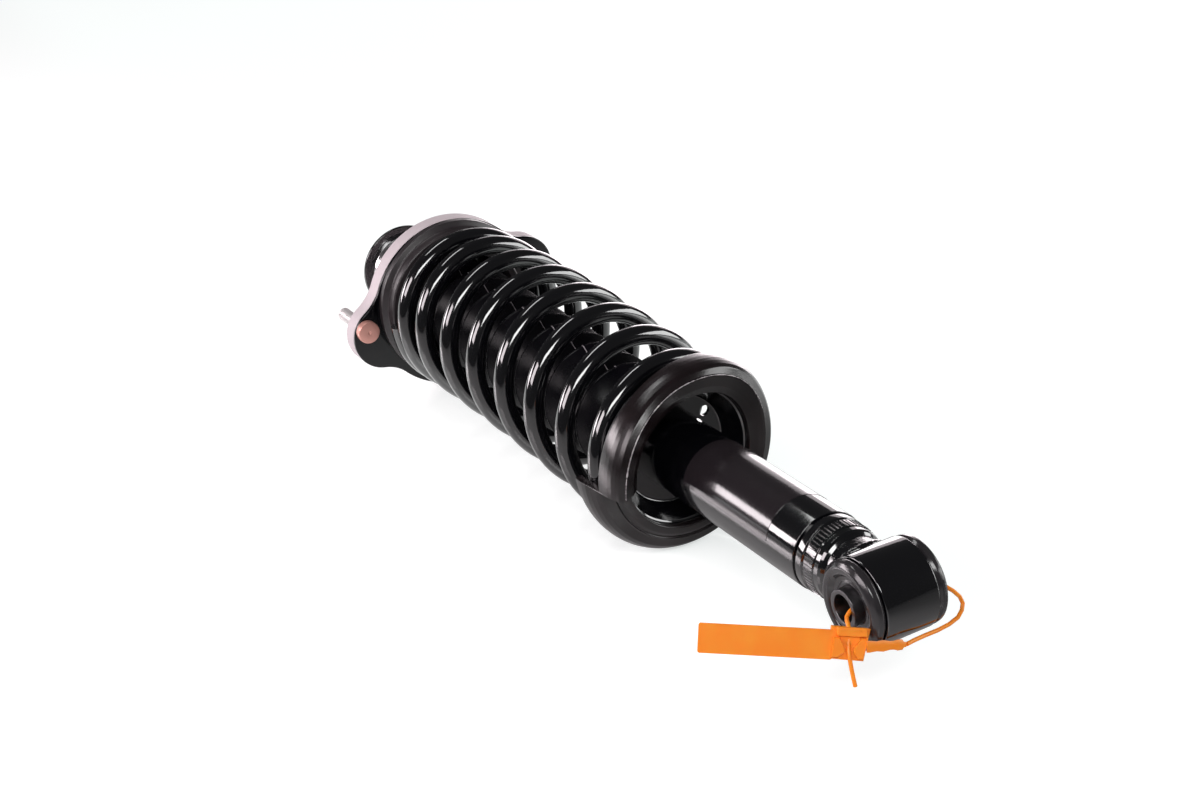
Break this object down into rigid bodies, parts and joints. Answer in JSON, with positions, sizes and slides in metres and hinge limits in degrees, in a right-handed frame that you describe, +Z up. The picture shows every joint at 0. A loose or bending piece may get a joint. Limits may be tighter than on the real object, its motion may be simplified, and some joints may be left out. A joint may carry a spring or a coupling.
{
  "type": "suspension strut",
  "caption": "Car suspension strut lying on its side: twin-tube damper with a rubber-bushed eye, coil spring on a rubber pad, folded dust boot and a flanged top mount with studs.",
  "frame": {"origin": "centre of the lower eye's bore", "axes": "+X along the strut from the lower eye to the top mount, +Y along the eye's bore, +Z up with the strut lying on its side"},
  "size_m": [0.6626, 0.191, 0.133],
  "materials": {
    "gloss_black": "gloss",
    "rubber": "satin",
    "bump_foam": "matte",
    "label_film": "satin",
    "steel": "satin",
    "rod_chrome": "polished",
    "cast_alloy": "satin",
    "stud_zinc": "satin",
    "seal_plastic": "satin"
  },
  "bodies": {
    "damper_body": {"eye_ring": "gloss_black", "eye_weld": "gloss_black", "bush_rubber": "rubber", "base_cap": "gloss_black", "body_tube": "gloss_black", "body_label": "label_film", "pressure_tube": "steel", "foot_valve": "steel", "rod_guide": "steel", "rod_seal": "rubber", "tube_cap": "gloss_black", "lower_seat": "gloss_black", "seat_weld": "gloss_black", "lower_pad": "rubber", "seal_flag": "seal_plastic", "seal_head": "seal_plastic", "seal_neck": "seal_plastic", "seal_strap": "seal_plastic"},
    "inner_sleeve": {"bush_sleeve": "steel"},
    "rod_assembly": {"piston_rod": "rod_chrome", "piston": "steel", "piston_nut": "steel", "rebound_stop": "bump_foam", "bump_stop": "bump_foam", "dust_boot": "rubber", "upper_pad": "rubber", "mount_plate": "gloss_black", "mount_housing": "cast_alloy", "mount_studs": "stud_zinc", "mount_bush": "rubber", "mount_neck": "rod_chrome", "rod_washer": "steel", "rod_nut": "steel", "coil_spring": "gloss_black"}
  },
  "joints": [
    {"name": "damper_slide", "type": "slide", "parent": "damper_body", "child": "rod_assembly", "axis": [-1, 0, 0], "range_m": [0, 0.1], "stiffness_N_per_m": 15000, "deforming": ["coil_spring", "dust_boot"]},
    {"name": "bush_turn", "type": "hinge", "parent": "damper_body", "child": "inner_sleeve", "pos_m": [0, 0, 0], "axis": [0, 1, 0], "range_deg": [-15, 15], "stiffness_Nm_per_rad": 40}
  ]
}
